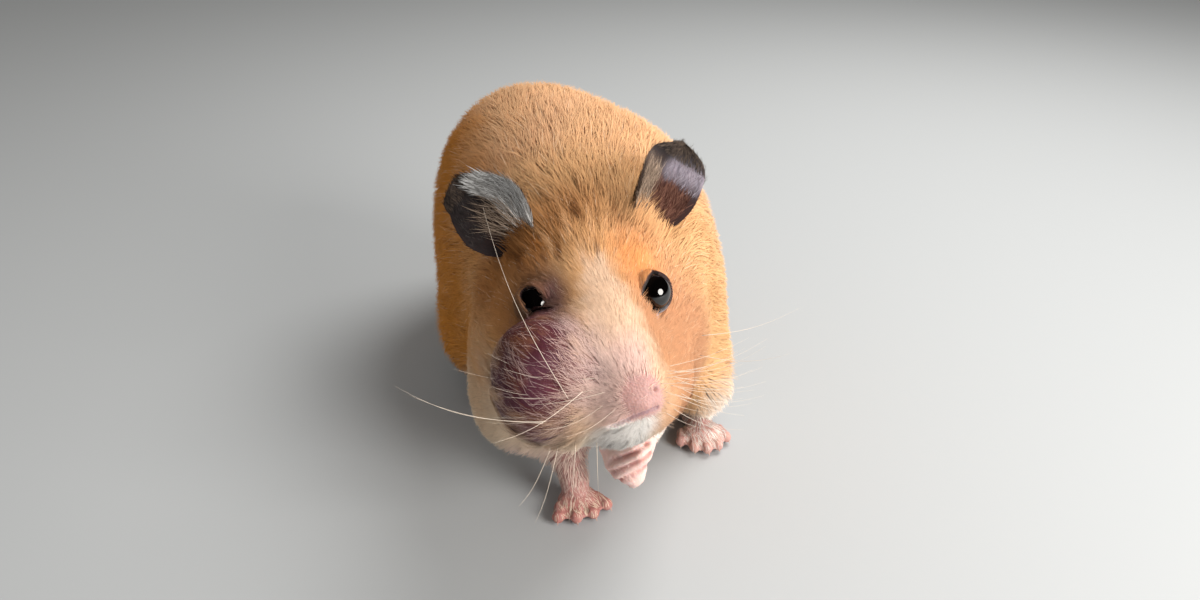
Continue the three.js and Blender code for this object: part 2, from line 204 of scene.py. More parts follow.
def step(low, high, value):
    """0 below low, 1 above high, and smooth between them."""
    t = np.clip((value - low) / (high - low), 0, 1)
    return t * t * (3 - 2 * t)


def fade(low, high, value):
    """1 below low, 0 above high, and smooth between them."""
    return 1 - step(low, high, value)


def bell(value):
    """1 at 0, and fading on both sides of it."""
    return np.exp(-(value**2))


def spot(points, place, reach):
    """1 at a place, and fading over its reach along each axis."""
    return np.exp(-np.sum(((points - place) / reach) ** 2, 1))


def unit(vectors):
    return vectors / np.maximum(np.linalg.norm(vectors, axis=-1, keepdims=True), 1e-9)


def gap(points, place):
    return np.linalg.norm(points - place, axis=-1)


EYES = {side: from_row(centre("eye_" + side)) for side in SIDES}
EYES["right"] = EYES["right"] + np.array((0.15, -0.3, -0.45))  # pushed down by the swelling
NOSE_TIP = from_row(centre("nose"))


def near_eyes(points):
    return np.minimum(gap(points, EYES["left"]), gap(points, EYES["right"]))


def coat_depth(points, to_feet, to_tail, to_swelling):
    """How deep the coat stands, in millimetres: least on the feet, tail, lids, nose and swelling."""
    to_nose = gap(points, NOSE_TIP)
    return np.minimum.reduce([
        np.full(len(points), BODY_COAT),
        0.1 + 0.26 * to_feet,
        0.4 + 0.4 * to_tail,
        0.35 + 0.07 * np.maximum(to_nose - 2, 0),
        0.3 + 0.28 * np.maximum(near_eyes(points) - 3.5, 0),
        0.3 + 0.45 * to_swelling,
    ])


points = skin_corners()
to_feet = distance_to(ALL_FEET, points)
to_tail = distance_to(TAIL, points)
to_swelling = distance_to(SWELLING, points)
to_nose = gap(points, NOSE_TIP)
to_eyes = near_eyes(points)
# the back is smoothed most, the face less, and the feet and tail least
by_nose = 0.35 + 0.65 * step(10, 40, to_nose)
firmness = np.minimum.reduce([step(1, 14, to_feet), step(2, 12, to_tail), by_nose])
points = relaxed(points, 0.08 + 0.52 * firmness, 18)
move_skin(points)
depth = coat_depth(points, to_feet, to_tail, to_swelling)
points = points - skin_normals() * depth[:, None]
points = relaxed(points, 0.1 + 0.4 * firmness, 5)
move_skin(points)


def refine(wanted):
    """Halves the facets of the skin round the corners that are wanted."""
    fine = bmesh.new()
    fine.from_mesh(skin_mesh)
    fine.verts.ensure_lookup_table()
    edges = [edge for edge in fine.edges if wanted[edge.verts[0].index] and wanted[edge.verts[1].index]]
    bmesh.ops.subdivide_edges(fine, edges=edges, cuts=1, use_grid_fill=True)
    fine.to_mesh(skin_mesh)
    fine.free()
    skin_mesh.update()


refine((to_nose < 12.5) | (to_eyes < 6.5) | (to_swelling < 0.15) | (to_feet < 1.2))
points = skin_corners()
to_feet = distance_to(ALL_FEET, points, 8)
refine((gap(points, NOSE_TIP) < 4.8) | (near_eyes(points) < 4.8) | (to_feet < 0.8))
points = skin_corners()
to_feet = distance_to(ALL_FEET, points)
points = relaxed(points, 0.5 * step(0.5, 3, to_feet), 8)

# The right thigh bulges under the flank.
THIGH, THIGH_REACH = (-22, 39, 7), (7, 13, 10)
THIGH_BULGE = np.array((-2.2, 0, 0))
points = points + THIGH_BULGE * (spot(points, THIGH, THIGH_REACH) * step(1, 6, to_feet))[:, None]

# Feet keep the shape of their solids, a hair's depth inside them. The closed paw keeps the cast's.
FOOT_COAT = 0.08
for node in [name for name in FEET if name != "forefoot_left"]:
    at, normal, distance = nearest(surface_of(node), to_row(points), 2 * MM)
    held = fade(0.7, 1.5, distance / MM)
    snapped = from_row(at) - normal * FOOT_COAT
    held = (held * fade(3.4, 4.6, points[:, 2]))[:, None]
    points = points * (1 - held) + snapped * held
points = relaxed(points, 0.3 * fade(0.5, 1.5, to_feet), 3)

# Lids: the skin closes on the eyeball round an opening, pointed towards the ear and round below. The
# opening is given as degrees round the eye's axis, from the inner corner, and degrees out from it.
EYE_RADIUS = 3.2
LID = 0.12  # thickness at its edge
SUNK = 0.7  # how far the skin lies inside the eyeball, where it is hidden
LID_FOLD = {"left": 0.35, "right": 0.1}  # how far the lid's rim stands out
EYE_LOOK = {"left": (0.421, -0.844, 0.333), "right": (-0.367, -0.732, 0.574)}
EYE_CORNER = {"left": (-0.8, -0.519, -0.302), "right": (0.343, -0.68, -0.648)}  # towards the inner corner
OPENINGS = {
    "left": [(0, 75), (30, 75), (60, 72), (90, 68), (130, 62), (180, 62), (212, 62), (228, 66), (241, 79),
             (254, 66), (270, 61), (290, 57), (325, 61)],
    "right": [(0, 66), (25, 60), (53, 45), (85, 35), (112, 32), (160, 42), (185, 50), (200, 48), (224, 34),
              (250, 26), (273, 24), (300, 27), (330, 40), (348, 62)],
}


def eye_frame(side):
    look = unit(np.array(EYE_LOOK[side]) @ HEAD_AXES.T)
    corner = np.array(EYE_CORNER[side]) @ HEAD_AXES.T
    corner = unit(corner - look * (corner @ look))
    return look, corner, np.cross(look, corner)


def eye_opening(points, side):
    """How far out each point is over the eyeball, as a share of the way to the edge of the lids."""
    look, corner, across = eye_frame(side)
    way = unit(points - EYES[side])
    lean = np.degrees(np.arccos(np.clip(way @ look, -1, 1)))
    turn = np.degrees(np.arctan2(way @ across, way @ corner)) % 360
    edge = np.array(OPENINGS[side], float)
    out = lean / np.interp(turn, edge[:, 0], edge[:, 1], period=360)
    return np.where(gap(points, EYES[side]) < 7, out, 9.0)


for side in SIDES:
    out = eye_opening(points, side)
    off = points - EYES[side]
    inside = fade(0.95, 1.0, out)
    held = fade(1.12, 1.45, out) * fade(3.8, 5.5, gap(points, EYES[side]))
    held = np.maximum(held, inside)[:, None]
    radius = EYE_RADIUS + LID * (1 - inside) - SUNK * inside
    target = EYES[side] + unit(off) * radius[:, None]
    points = points * (1 - held) + target * held
around = np.minimum(eye_opening(points, "left"), eye_opening(points, "right"))
points = relaxed(points, 0.5 * step(1.1, 1.3, around) * fade(3, 5, around), 6)
for side, fold in LID_FOLD.items():
    covered = step(0.98, 1.03, eye_opening(points, side))
    off = points - EYES[side]
    away = np.linalg.norm(off, axis=1)
    over = np.maximum(away, EYE_RADIUS + LID + fold * bell((away - EYE_RADIUS) / 0.7))
    points = points + unit(off) * (covered * (over - away))[:, None]
move_skin(points)

# Nostrils, and the cleft of the mouth between the lips.
NOSTRILS = [((4.8, -19.7, -6.9), 0.3, 0.6), ((-0.9, -19.5, -7.9), 0.26, 0.2)]  # place, radius, depth
NOSTRIL_RIM = 0.1
MOUTH = [(-1.7, -19.0, -12.9), (-0.6, -19.5, -12.1), (0.5, -20.0, -11.4), (1.5, -20.4, -10.6)]
MOUTH += [(2.6, -20.7, -10.1), (3.8, -20.7, -9.7), (4.9, -20.4, -9.6)]
CLEFT, CLEFT_DEPTH = 0.34, 0.4
mouth_line = from_head(MOUTH)


def along(points, start, end):
    """How far each point lies along a line, from 0 at its start to 1 at its end."""
    way = end - start
    return np.clip((points - start) @ way / (way @ way), 0, 1)[:, None]


def off_path(points, path):
    """The distance from each point to a bent line."""
    best = np.full(len(points), 1e9)
    for start, end in zip(path[:-1], path[1:]):
        best = np.minimum(best, gap(points, start + along(points, start, end) * (end - start)))
    return best


# The lifted paw is closed, its three fingers side by side with folds between them.
ACROSS_FINGERS, FINGER = (0.434, -0.5, -0.753), 1.95
FIRST_FOLD = 6.6  # how far back along that line the first fold lies
FOLD, FOLD_DEPTH = 0.42, 0.8
PALM_PAD = 0.2


def between_fingers(points):
    fold = (points @ np.array(ACROSS_FINGERS) + FIRST_FOLD) / FINGER
    off = np.abs(fold - np.clip(np.round(fold), 0, 2)) * FINGER
    return bell(off / FOLD) * step(5, 6.5, -points[:, 1]) * fade(6, 7, gap(points, FIST))


on_paw = fade(6.5, 8, gap(points, FIST)) * (distance_to(ALL_FEET, points, 6) < 3)
points = relaxed(points, 0.5 * on_paw, 14)
move_skin(points)
normals = skin_normals()
points = points + normals * (PALM_PAD * on_paw)[:, None]
sink = FOLD_DEPTH * between_fingers(points) * on_paw
sink += CLEFT_DEPTH * bell(off_path(points, mouth_line) / CLEFT)
for place, radius, deep in NOSTRILS:
    out = gap(points, from_head(place)) / radius
    sink += deep * bell(out) - NOSTRIL_RIM * bell(out - 2.2)
points = points - normals * sink[:, None]
move_skin(points)
skin_mesh.name = "skin"
skin = linked("skin", skin_mesh)


def shade_smooth(mesh):
    mesh.polygons.foreach_set("use_smooth", [True] * len(mesh.polygons))


shade_smooth(skin_mesh)


def srgb(code):
    """A colour from its six hexadecimal digits, made linear."""
    value = np.array([int(code[i : i + 2], 16) for i in (0, 2, 4)]) / 255
    return np.where(value < 0.04045, value / 12.92, ((value + 0.055) / 1.055) ** 2.4)


def blend(colours, other, share):
    """Mixes in a colour, given as its linear values or its six digits."""
    other = srgb(other) if isinstance(other, str) else other
    return colours + share[:, None] * (other - colours)


def layered(colours, layers):
    for colour, share in layers:
        colours = blend(colours, colour, share)
    return colours


def ripple(points, wavelength, seed):
    """A smooth random value for each point, mostly between -1 and 1."""
    random = np.random.default_rng(seed)
    total = np.zeros(len(points))
    for _ in range(10):
        way = unit(random.normal(size=3)) * 2 * math.pi / (wavelength * random.uniform(0.7, 1.5))
        total += np.sin(points @ way + random.uniform(0, 2 * math.pi))
    return total / 3


GOLD = "DDAF7E"
SHADED_GOLD = "D28A36"
AMBER = "B9783F"
APRICOT = "E2B492"
TAN = "E8BC8E"
BROWN = "8F5826"
CREAM = "F2DEC6"
BLAZE = "EACAAE"
BLUSH = "E6C4BC"
WHITE = "F6F1EC"
SMOKE = "755853"
PLUM = "5C3242"
MAROON = "4C1826"
PINK = "E3AC9F"


def markings(points):
    """The coat's colours: gold above, cream to white below, and a blaze from the crown down to the nose."""
    q = to_head(points)
    x, y, z = q.T
    front = fade(14, 24, y)
    # gold, darker on the right with that side's shade painted in, and paler over the rump, to cream and white
    # low down and on the left haunch
    rough = ripple(points, 9, 1)
    behind_cheek = step(6, 14, points[:, 0]) * fade(14, 26, points[:, 1])
    height = points[:, 2] + 2.5 * rough + 8 * behind_cheek
    layers = [
        (AMBER, 0.3 * step(0.0, 1.5, ripple(points, 14, 2))),
        (APRICOT, (0.35 + 0.25 * step(0, 1.5, ripple(points, 18, 8))) * step(20, 40, points[:, 1])),
        # painted shade: the gold of the right side darkened where less light falls
        (SHADED_GOLD, fade(-24, -10, points[:, 0] + 2 * rough)),
        (CREAM, fade(8, 20, height + 5 * step(0, 30, points[:, 1]))),
        (WHITE, fade(5, 13, height - 5 * step(12, 24, points[:, 0]))),
        ("F8F2EC", spot(points, (27, 14, 6), (5, 8, 6))),
    ]
    # cheeks: apricot in front, deeper gold behind and on the right
    layers += [
        ("C8926E", 0.9 * front * fade(3, 17, y) * step(2, 7, x)),
        (AMBER, 0.75 * front * step(-9, -3, z) * step(5, 9, -x)),
        (TAN, 0.7 * spot(q, (-20, 6, -12), (5, 6, 7))),
    ]
    # crown, darkest to the right of the middle, with the brow over the left eye and streaks along the hair
    streaks = ripple(q * (1, 0.16, 0.2), 1.7, 12) * bell((y - 8) / 9) * step(-6, 2, z)
    streaks = streaks * bell((x + 1) / 10)
    layers += [
        (BROWN, 0.9 * spot(q, (-8, 8, 8), (6.5, 8, 5))),
        ("9E683C", 0.75 * spot(q, (0, 13, 12), (8, 7, 5))),
        ("E49A5C", 0.95 * spot(q, (8.5, 2, 6), (6, 7, 5))),
        ("6E4222", 0.75 * step(0.1, 1.1, streaks)),
        ("E2B080", 0.75 * step(0.2, 1.2, -streaks)),
    ]
    # the blaze, narrow between the brows and widening over the bridge
    half = 3.1 + 0.42 * np.maximum(-1 - y, 0)
    aside = np.abs(x - 0.6 - 0.05 * np.maximum(-y, 0)) / half + 0.1 * ripple(points, 3, 13)
    below_crown = fade(-1.5, 5.5, y + 0.8 * ripple(points, 2.5, 14))
    layers.append((BLAZE, 0.95 * fade(0.4, 1.15, aside) * below_crown * front))
    # muzzle and lips
    to_nose = gap(q, np.array([3.0, -19.8, -7.4]))
    lips = -12.0 + 0.45 * (x + 1.2)
    chin = step(-0.5, 1.2, lips - z) * fade(3.5, 6.5, x) * fade(3, 7, -x) * fade(-10, -2, y)
    layers += [
        (BLUSH, 0.9 * fade(5, 12.5, to_nose) * fade(3, 7, x)),
        ("E2C8C0", 0.6 * spot(q, (-3, -15.5, -4.5), (2.6, 5, 4))),
        ("C8966F", 0.95 * spot(q, (9, -16, -11), (4.5, 6, 7))),
        (CREAM, 0.9 * fade(-20, -13, z) * front * fade(5, 9, x)),
        (WHITE, chin),
        ("C08B5C", 0.8 * spot(q, (-6.2, -16, -14), (2.4, 3, 1.8))),
    ]
    # dusky hair from the right eye's inner corner down beside the bridge, and tan behind the swelling
    layers += [
        ("64463F", 0.95 * spot(q, (-7.4, -4.5, 2.2), (3.4, 6, 4))),
        ("6E5142", 0.85 * spot(q, (-9.6, 1, 1), (4.5, 4.5, 4.5))),
        ("5C4044", 0.7 * spot(q, (-6.4, -2.5, 2), (1.6, 4, 3))),
        (SMOKE, 0.85 * spot(q, (-7.8, -12, 1), (2.6, 6, 3))),
        ("5F4A3E", 0.85 * spot(q, (-10.8, -3, -0.6), (3, 4, 2.5))),
        ("DDB58A", 0.7 * spot(q, (-19, 10, -20), (4, 8, 7))),
    ]
    # white at the lifted wrist, and russet on the right hind foot: its orange fur with painted shade
    layers += [
        (WHITE, spot(points, (9.5, -3, 16), (3.5, 5, 5))),
        # painted shade: the right hind foot darkened to russet
        ("8A5038", 0.9 * spot(points, (-21.5, 30, 3), (4, 6, 4))),
    ]
    return layered(srgb(GOLD), layers)


def swollen(points, to_swelling):
    """1 on the swollen cheek. It ends sharply towards the cheek and fades slowly towards the muzzle."""
    q = to_head(points)
    x, y, z = q.T
    near = fade(0.2, 2.6, to_swelling + 0.7 * ripple(points, 4, 3))
    towards_muzzle = step(-10, -5, x) * step(0, 6, -y - 8)
    fading = fade(-0.5, 6.5, to_swelling + 0.9 * ripple(points, 3, 4))
    fading = fading * (1 - 0.8 * step(-7.5, -4.5, x) * fade(-11, -8, z))
    corner = bell(((x + 9) / 2.8) ** 2 + ((y + 6) / 5.5) ** 2 + ((z - 2) / 3.5) ** 2)
    low = bell(((x + 12) / 4.6) ** 2 + ((y + 16) / 4) ** 2 + ((z + 13.3) / 2.6) ** 2)
    whole = np.maximum(np.maximum(near * (1 - step(-9, -3, x) * 0.4), fading * towards_muzzle), 0.85 * corner)
    whole = np.maximum(whole, 0.95 * low)
    return whole * (1 - 0.75 * np.exp(-((gap(points, EYES["right"]) / 5.5) ** 4)))


def paint(mesh, colours):
    layer = mesh.attributes.new("colour", "FLOAT_COLOR", "POINT")
    rgba = np.ones((len(colours), 4), np.float32)
    rgba[:, :3] = np.clip(colours, 0, 1)
    layer.data.foreach_set("color", rgba.ravel())


to_feet = distance_to(ALL_FEET, points)
to_tail = distance_to(TAIL, points)
to_swelling = distance_to(SWELLING, points)
to_nose = gap(points, NOSE_TIP)
swelling_here = swollen(points, to_swelling)
q = to_head(points)
to_foreleg = distance_to(FORELEG, points, 10)
to_mouth = off_path(points, mouth_line)
toes = fade(0.2, 1.5, to_feet) * (0.5 + 0.5 * step(-0.6, 0.6, ripple(points, 4, 5)))
hind = step(12, 18, np.abs(points[:, 0]))[:, None]
toe_colour = srgb("AD756E") * (1 - hind) + srgb("C2988E") * hind
lifted = fade(6, 8.5, gap(points, FIST))
raw = layered(srgb(PLUM), [
    (MAROON, step(-0.8, 0.7, ripple(points, 7, 6))),
    ("664C5C", 0.6 * fade(-18, -11, q[:, 2])),
    ("4A2A2C", 0.6 * step(-4, 2, q[:, 2]) * step(6, 14, -q[:, 0])),
    ("64202F", 0.8 * spot(q, (-8.5, -19, -6.5), (3.6, 4, 3.5))),
    ("C29A96", 0.85 * step(-8, -4, q[:, 0]) * fade(-12, -8, q[:, 1])),
])
bare = layered(markings(points) * 0.95, [
    (PINK, np.full(len(points), 0.15)),
    ("B88A84", np.maximum(fade(3, 8, to_feet), fade(2.5, 4, to_foreleg))),
    (toe_colour, toes * fade(2.5, 5, points[:, 2])),
    ("F6D2CA", lifted * fade(2, 3.5, to_feet)),
    # painted shade: darker pink in the folds between the lifted paw's fingers
    ("BE7E78", 0.8 * between_fingers(points) * lifted),
    (PINK, fade(0, 3, to_tail)),
    ("B9908B", fade(2.5, 6, to_nose)),
    (raw, swelling_here),
    ("8E7480", 0.7 * fade(0.2, 0.6, to_mouth)),
])
for side in SIDES:
    out = eye_opening(points, side)
    bare = blend(bare, "4A3432", fade(1.03, 1.15 if side == "left" else 1.9, out))
    look, corner, across = eye_frame(side)
    low = (side == "left") * step(0.1, 0.8, unit(points - EYES[side]) @ unit(corner + 0.8 * across))
    bare = blend(bare, "B9AFB4", low * fade(1.06, 1.16, out))
    bare = blend(bare, "080506", fade(1.0, 1.04, out))
# painted shade: dark inside the nostrils, darker the deeper each is sunk
for place, radius, deep in NOSTRILS:
    inside = bell(gap(points, from_head(place)) / radius / 0.9)
    bare = blend(bare, "5A2A28", inside * min(1, 0.3 + deep))
paint(skin_mesh, bare)


def living(name, roughness, gloss, bump_scale, bump_height, sheen=0.0, subsurface=0.0):
    """A skin, horn or hair finish: coloured corner by corner, mottled and pitted on object coordinates."""
    material = bpy.data.materials.new(name)
    material.use_nodes = True
    nodes, links = material.node_tree.nodes, material.node_tree.links

    def adjusted(node, settings):
        for socket, value in settings.items():
            node.inputs[socket].default_value = value
        return node

    shader = adjusted(nodes["Principled BSDF"], {
        "Roughness": roughness, "Specular IOR Level": gloss, "Sheen Weight": sheen,
        "Subsurface Weight": subsurface, "Subsurface Radius": (1.0, 0.35, 0.2), "Subsurface Scale": MM,
    })
    place = nodes.new("ShaderNodeTexCoord")
    colour = nodes.new("ShaderNodeAttribute")
    colour.attribute_name = "colour"
    mottle = adjusted(nodes.new("ShaderNodeTexNoise"), {"Scale": bump_scale / 3, "Detail": 3})
    links.new(place.outputs["Object"], mottle.inputs["Vector"])
    strength = adjusted(nodes.new("ShaderNodeMapRange"), {"To Min": 0.86, "To Max": 1.14})
    links.new(mottle.outputs["Fac"], strength.inputs["Value"])
    mixed = nodes.new("ShaderNodeVectorMath")
    mixed.operation = "SCALE"
    links.new(colour.outputs["Color"], mixed.inputs[0])
    links.new(strength.outputs["Result"], mixed.inputs["Scale"])
    links.new(mixed.outputs["Vector"], shader.inputs["Base Color"])
    if bump_height:
        pits = adjusted(nodes.new("ShaderNodeTexVoronoi"), {"Scale": bump_scale})
        links.new(place.outputs["Object"], pits.inputs["Vector"])
        bump = adjusted(nodes.new("ShaderNodeBump"), {"Strength": 0.6, "Distance": bump_height * MM})
        links.new(pits.outputs["Distance"], bump.inputs["Height"])
        links.new(bump.outputs["Normal"], shader.inputs["Normal"])
    return material


skin_mesh.materials.clear()
skin_mesh.materials.append(living("bare_skin", 0.55, 0.35, 2600, 0.12, subsurface=0.2))
bpy.context.view_layer.objects.active = skin
skin.select_set(True)
bpy.ops.object.mode_set(mode="EDIT")
bpy.ops.mesh.select_all(action="SELECT")
bpy.ops.uv.smart_project(angle_limit=math.radians(60), island_margin=0.002)
bpy.ops.object.mode_set(mode="OBJECT")
skin_mesh.uv_layers[0].name = "OFBake"
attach(skin, "root")
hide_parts(*FLESH)

# ---- Eyes ----
# Wet black-brown globes, proud of the lids, with a pupil that can barely be told from the iris. In life
# they are soft and clear in front. Here each is one closed globe, set in the socket that the lids leave.
IRIS = 2.35  # radius of the coloured disc
CLEARANCE = 0.06  # between the globe and the lids
CORNEA = 0.1  # how far it bulges in front


def closed_piece(name, corners, faces, colours):
    """A mesh with its faces turned outward, shaded smooth and painted corner by corner."""
    mesh = bpy.data.meshes.new(name)
    mesh.from_pydata(to_row(np.asarray(corners)).tolist(), [], faces)
    fine = bmesh.new()
    fine.from_mesh(mesh)
    bmesh.ops.recalc_face_normals(fine, faces=fine.faces)
    fine.to_mesh(mesh)
    fine.free()
    shade_smooth(mesh)
    paint(mesh, colours)
    return mesh


def grid_faces(rows, columns, round_about):
    """Quads between the rows of a grid of corners, which may close round into a tube."""
    faces = []
    for row in range(rows - 1):
        for column in range(columns if round_about else columns - 1):
            a, b = row * columns + column, row * columns + (column + 1) % columns
            faces.append((a, b, b + columns, a + columns))
    return faces


def eyeball(side):
    look, corner, across = eye_frame(side)
    rings, spokes = 40, 48
    corners, shades = [], []
    for ring in range(1, rings):
        lean = math.pi * ring / rings
        proud = CORNEA * math.exp(-((lean / 0.75) ** 2))
        for spoke in range(spokes):
            turn = 2 * math.pi * spoke / spokes
            way = look * math.cos(lean) + (corner * math.cos(turn) + across * math.sin(turn)) * math.sin(lean)
            corners.append(EYES[side] + way * (EYE_RADIUS - CLEARANCE + proud))
            edge = step(IRIS - 0.4, IRIS + 0.3, EYE_RADIUS * math.sin(min(lean, math.pi / 2)))
            shades.append(srgb("040303") * (1 - edge) + srgb("0C0807") * edge)
    faces = [(a, d, c, b) for a, b, c, d in grid_faces(rings - 1, spokes, True)]
    corners.append(EYES[side] + look * (EYE_RADIUS + 0.04))
    corners.append(EYES[side] - look * (EYE_RADIUS - CLEARANCE))
    shades += [srgb("030303"), srgb("0C0807")]
    front, rear = len(corners) - 2, len(corners) - 1
    last = (rings - 2) * spokes
    faces += [(front, spoke, (spoke + 1) % spokes) for spoke in range(spokes)]
    faces += [(rear, last + (spoke + 1) % spokes, last + spoke) for spoke in range(spokes)]
    return closed_piece("eyeball_" + side, corners, faces, np.array(shades))


eye_finish = living("wet_eye", 0.05, 0.8, 900, 0)
for side in SIDES:
    ball = linked("eyeball_" + side, eyeball(side))
    ball.data.materials.append(eye_finish)
    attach(ball, "root")
    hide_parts("eye_" + side)

# ---- Coat ----
# Dense fur, golden above and cream below: fine and close on the face, longer on the back and rump. Each
# hair is a thin ribbon rooted in the skin, bent over to lie along it, away from the nose and down the body.
# Hairs stand in tufts, and the tips of a tuft draw together.
skin_mesh.calc_loop_triangles()
SKIN_TRIANGLES = table(skin_mesh.loop_triangles, "vertices", 3, np.int32)
SKIN_LOOPS = table(skin_mesh.loop_triangles, "loops", 3, np.int32)
SKIN_UV = table(skin_mesh.uv_layers["OFBake"].data, "uv", 2, np.float32)
SKIN_POINTS = skin_corners()
SKIN_MIDDLES = SKIN_POINTS[SKIN_TRIANGLES].mean(1)
SKIN_NORMALS = skin_normals()
random = np.random.default_rng(SEED)  # each section's draws come from a seed of its own
SKIN_TREE = BVHTree.FromPolygons(SKIN_POINTS.tolist(), SKIN_TRIANGLES.tolist())


def rooted(weight):
    """Places strewn over the skin, about weight to a square millimetre, with their normals and map places."""
    a, b, c = (SKIN_POINTS[SKIN_TRIANGLES[:, k]] for k in range(3))
    area = np.linalg.norm(np.cross(b - a, c - a), axis=1) / 2
    total = np.cumsum(area * weight)
    wanted = int(total[-1])
    picks = np.searchsorted(total, np.arange(wanted) + random.random(wanted))
    picks = np.minimum(picks, len(SKIN_TRIANGLES) - 1)
    u, v = random.random((2, len(picks)))
    u, v = np.where(u + v > 1, 1 - u, u), np.where(u + v > 1, 1 - v, v)
    shares = (1 - u - v, u, v)

    def mixed(values, triangles):
        return sum(values[triangles[picks, k]] * shares[k][:, None] for k in range(3))

    normals = unit(mixed(SKIN_NORMALS, SKIN_TRIANGLES))
    return mixed(SKIN_POINTS, SKIN_TRIANGLES), normals, mixed(SKIN_UV, SKIN_LOOPS)


def flattened(vectors, normals):
    return unit(vectors - normals * np.sum(vectors * normals, 1, keepdims=True))


def lie_of_coat(points):
    """The way the hair points: away from the nose over the head, then back and down the body."""
    q = to_head(points)
    x, y, _ = q.T
    source = np.stack([2.5 + 0 * x, np.full_like(x, -19.0), -8.5 - 3.5 * (x < 0) * step(0, 8, -x)], 1)
    head_way = unit(q - source)
    head_way[:, 2] -= 0.25 * step(2, 12, y) * step(6, 14, np.abs(x))
    head_way = head_way @ HEAD_AXES.T
    side = points[:, 0] / 26
    body_way = np.stack([0.25 * side, np.ones_like(x), -0.15 - 0.75 * side**2], 1)
    low = fade(4, 16, points[:, 2])
    leg_way = np.stack([0 * x, -0.25 + 0 * x, -np.ones_like(x)], 1)
    way = head_way + (unit(body_way) - head_way) * step(8, 24, y)[:, None]
    in_legs = low * fade(0, 14, distance_to(ALL_FEET, points, 15))
    way = unit(way) + (unit(leg_way) - unit(way)) * in_legs[:, None]
    swirl = np.stack([ripple(points, 16, k) for k in (21, 22, 23)], 1)
    return unit(way + 0.12 * swirl)


def spread(uv):
    """Stretches a piece's patches over the whole of its map."""
    low, high = uv.min(0), uv.max(0)
    return 0.004 + 0.992 * (uv - low) / (high - low)


coat_finish = living("fur", 0.75, 0.12, 1500, 0)
# a hair has 7 corners and 3 faces: two to a row at its root and twice on the way, and one at its tip
HAIR_TIMES = np.array([0.0, 0.33, 0.68, 1.0])
HAIR_GIRTH = np.array([0.75, 1.0, 0.72, 0.0])  # its share of the full width at each of those
PATCH = np.array([0.0024, 0.0028])  # the size of a hair's patch on the map


def ribbons(name, line, normals, width, colours, uv):
    """Joins hairs into one mesh: each a bent ribbon of five triangles, shaded as round."""
    root, halfway, tip = line
    count = len(root)
    rows, upright = [], []
    for t in HAIR_TIMES:
        rows.append(root * (1 - t) * (1 - 2 * t) + halfway * 4 * t * (1 - t) + tip * t * (2 * t - 1))
        upright.append(normals[0] * (1 - t) + normals[1] * t)
    roll = random.normal(0, 0.06, (count, 1))
    uv = spread(uv)
    corners, facing, shades = np.empty((3, count, 7, 3))
    patches = np.empty((count, 7, 2))
    for k, t in enumerate(HAIR_TIMES):
        way = unit(rows[min(k + 1, 3)] - rows[max(k - 1, 0)])
        flat = flattened(upright[k], way)
        side = np.cross(way, flat)
        side = unit(side + flat * roll)
        half = side * (width * HAIR_GIRTH[k] / 2)[:, None]
        soft = unit(upright[k] + 0.2 * flat)
        # each hair's colour runs from its foot colour, darker as painted shade, to its tip colour
        shade = colours[0] + (colours[1] - colours[0]) * step(0.0, 0.75, np.full(count, t))[:, None]
        for j, sign in ((2 * k, -1), (2 * k + 1, 1)) if k < 3 else ((6, 0),):
            corners[:, j] = rows[k] + sign * half
            facing[:, j] = unit(soft + sign * 0.2 * side)
            shades[:, j] = shade
            patches[:, j] = uv + PATCH * (sign / 2, t - 0.5)
    base = (np.arange(count) * 7)[:, None]
    loops = [base + np.array(face) for face in ([0, 1, 3, 2], [2, 3, 5, 4], [4, 5, 6])]
    loops = np.concatenate(loops, 1)
    starts = (np.arange(count) * 11)[:, None] + np.array([0, 4, 8])
    mesh = bpy.data.meshes.new(name)
    mesh.vertices.add(count * 7)
    mesh.vertices.foreach_set("co", to_row(corners.reshape(-1, 3)).ravel())
    mesh.loops.add(count * 11)
    mesh.loops.foreach_set("vertex_index", loops.ravel().astype(np.int32))
    mesh.polygons.add(count * 3)
    mesh.polygons.foreach_set("loop_start", starts.ravel().astype(np.int32))
    mesh.update(calc_edges=True)
    mesh.polygons.foreach_set("use_smooth", np.ones(count * 3, bool))
    layer = mesh.uv_layers.new(name="OFBake")
    layer.data.foreach_set("uv", patches.reshape(-1, 2)[loops.ravel()].ravel().astype(np.float32))
    paint(mesh, shades.reshape(-1, 3))
    mesh.normals_split_custom_set_from_vertices(facing.reshape(-1, 3))
    mesh.materials.append(coat_finish)
    hair = linked(name, mesh)
    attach(hair, "root")


def fineness(q):
    """How fine the hair is: 1 on the face, 0 on the back."""
    return fade(-6, 26, q[:, 1] + 0.2 * np.abs(q[:, 0]))


def on_foreleg(points):
    return fade(1.5, 3.5, distance_to(FORELEG, points, 10)) * fade(12, 20, points[:, 2])


BACK_HAIRS, FACE_HAIRS, FOOT_HAIRS = 9.5, 52, 5  # to a square millimetre, on the face besides the back's
RIMS = {"left": (1.03, 1.12), "right": (1.0, 1.08)}  # where the hair begins and is full, out from the lids
middles = SKIN_MIDDLES
to_feet = distance_to(ALL_FEET, middles)
swelling_here = swollen(middles, distance_to(SWELLING, middles))
to_nose = gap(middles, NOSE_TIP)
thick = BACK_HAIRS + FACE_HAIRS * fineness(to_head(middles)) ** 1.6
thick = thick * (1 - 0.88 * on_foreleg(middles))
on_feet = fade(0.3, 2.0, to_feet)
thick = thick * (1 - on_feet) + FOOT_HAIRS * on_feet * step(1.5, 3, middles[:, 2])
thick = thick * (step(6, 8, gap(middles, FIST)) + (to_feet > 3)).clip(0, 1)
thick = thick * (1 - 0.972 * swelling_here)
thick = thick * (0.01 + 0.99 * step(2.3, 5.2, to_nose))
thick = thick * step(0.5, 1.6, off_path(middles, mouth_line))
